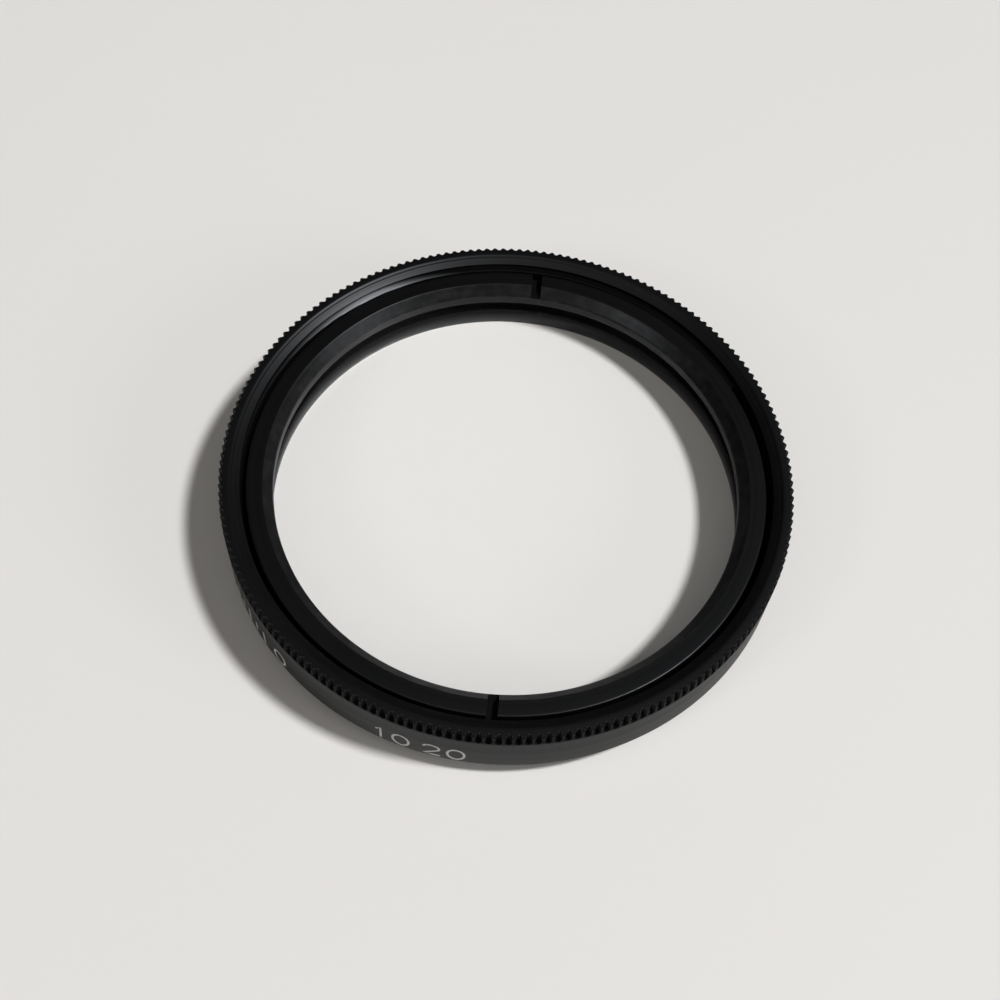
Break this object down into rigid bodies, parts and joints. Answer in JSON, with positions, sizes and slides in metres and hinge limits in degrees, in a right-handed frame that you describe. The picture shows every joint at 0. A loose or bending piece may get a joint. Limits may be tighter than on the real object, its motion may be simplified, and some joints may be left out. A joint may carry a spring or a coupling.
{
  "type": "close-up lens",
  "caption": "Screw-in close-up lens: a knurled black ring with a rear male filter thread, one plano-convex glass and a slotted retaining ring in front of it.",
  "frame": {"origin": "on the optical axis, in the plane of the rear end of the male thread, which the lens stands on", "axes": "+Z along the optical axis towards the front of the lens; the spanner slots lie along Y"},
  "size_m": [0.04, 0.04, 0.0064],
  "materials": {
    "black_anodised": "black anodised, finely turned, satin",
    "optical_glass": "polished clear optical glass"
  },
  "bodies": {
    "root": {"frame_ring": "black_anodised", "lens_glass": "optical_glass", "retaining_ring": "black_anodised"}
  },
  "joints": []
}
